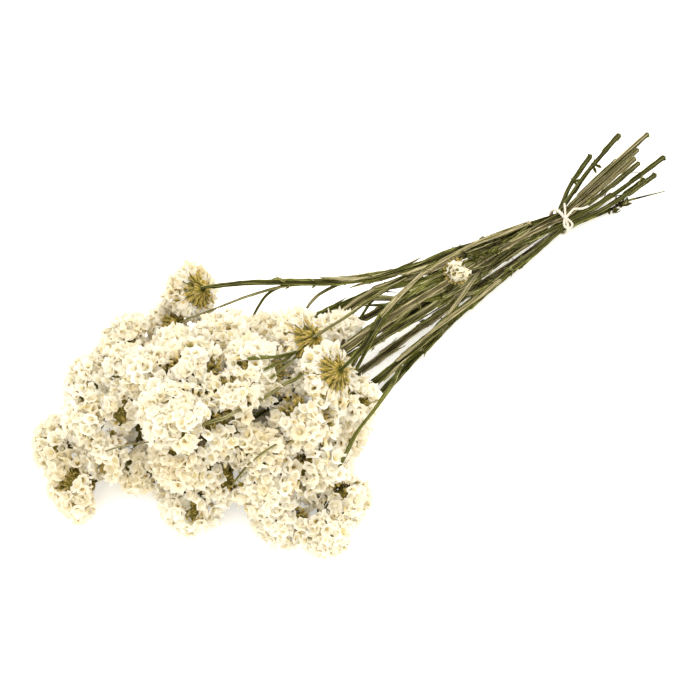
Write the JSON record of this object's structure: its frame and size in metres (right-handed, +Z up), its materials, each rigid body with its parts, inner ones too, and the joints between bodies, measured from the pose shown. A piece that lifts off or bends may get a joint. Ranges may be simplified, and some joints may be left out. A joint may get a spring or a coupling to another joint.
{
  "type": "dried statice bunch",
  "caption": "Tied bunch of dried white statice lying down: winged green stems run from cut ends through a string tie and fork up to dense heads of papery calyces.",
  "frame": {"origin": "middle of the outline of the lying bunch, on the surface it rests on", "axes": "+X along the bunch from the heads to the cut ends, +Y across the bunch, +Z up from the surface"},
  "size_m": [0.6358, 0.2762, 0.1153],
  "materials": {
    "calyx": "matt papery dried calyx, creamy white",
    "stem": "matt dried winged stem, olive green",
    "string": "matt twisted cotton string, off-white"
  },
  "bodies": {
    "root": {"head_01": "calyx", "head_02": "calyx", "head_03": "calyx", "head_04": "calyx", "head_05": "calyx", "head_06": "calyx", "head_07": "calyx", "head_08": "calyx", "head_09": "calyx", "head_10": "calyx", "head_11": "calyx", "head_12": "calyx", "head_13": "calyx", "head_14": "calyx", "head_15": "calyx", "head_16": "calyx", "head_17": "calyx", "head_18": "calyx", "head_19": "calyx", "head_20": "calyx", "head_21": "calyx", "head_22": "calyx", "head_23": "calyx", "head_24": "calyx", "head_25": "calyx", "head_26": "calyx", "head_27": "calyx", "head_28": "calyx", "head_29": "calyx", "head_30": "calyx", "head_31": "calyx", "head_32": "calyx", "head_33": "calyx", "head_34": "calyx", "head_35": "calyx", "head_36": "calyx", "head_37": "calyx", "head_38": "calyx", "head_39": "calyx", "head_40": "calyx", "head_41": "calyx", "head_42": "calyx", "head_43": "calyx", "head_44": "calyx", "stem_01": "stem", "stem_02": "stem", "stem_03": "stem", "stem_04": "stem", "stem_05": "stem", "stem_06": "stem", "stem_07": "stem", "stem_08": "stem", "stem_09": "stem", "stem_10": "stem", "stem_11": "stem", "stem_12": "stem", "stem_13": "stem", "string_tie": "string"}
  },
  "joints": []
}
